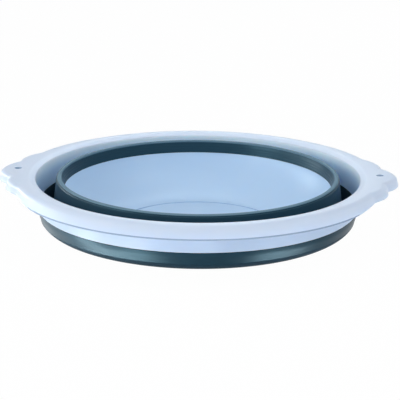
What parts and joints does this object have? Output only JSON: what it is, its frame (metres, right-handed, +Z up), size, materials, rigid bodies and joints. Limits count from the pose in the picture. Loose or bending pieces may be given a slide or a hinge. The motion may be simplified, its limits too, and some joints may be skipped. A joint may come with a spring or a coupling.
{
  "type": "collapsible wash basin",
  "caption": "Round collapsible wash basin stored flat: stiff rim with lobed hanging ears, soft wall that folds down twice its height, and a bowl-shaped base.",
  "frame": {"origin": "on the floor under the basin's axis, at the centre of the foot ring", "axes": "+Z up along the basin's axis and the way it folds, +X through an ear and its hanging hole, the other ear on -X"},
  "size_m": [0.3724, 0.343, 0.0567],
  "materials": {
    "rim_plastic": "satin moulded polypropylene, pale lavender blue",
    "pan_plastic": "satin moulded polypropylene, pale blue",
    "soft_wall": "satin thermoplastic rubber, dark slate blue"
  },
  "bodies": {
    "rim": {"rim_ring": "rim_plastic", "outer_band": "soft_wall", "fold_band": "soft_wall"},
    "base": {"inner_band": "soft_wall", "base_pan": "pan_plastic"}
  },
  "joints": [
    {"name": "pan_drop", "type": "slide", "parent": "rim", "child": "base", "axis": [0, 0, -1], "range_m": [0, 0.079], "deforming": ["fold_band"]}
  ]
}
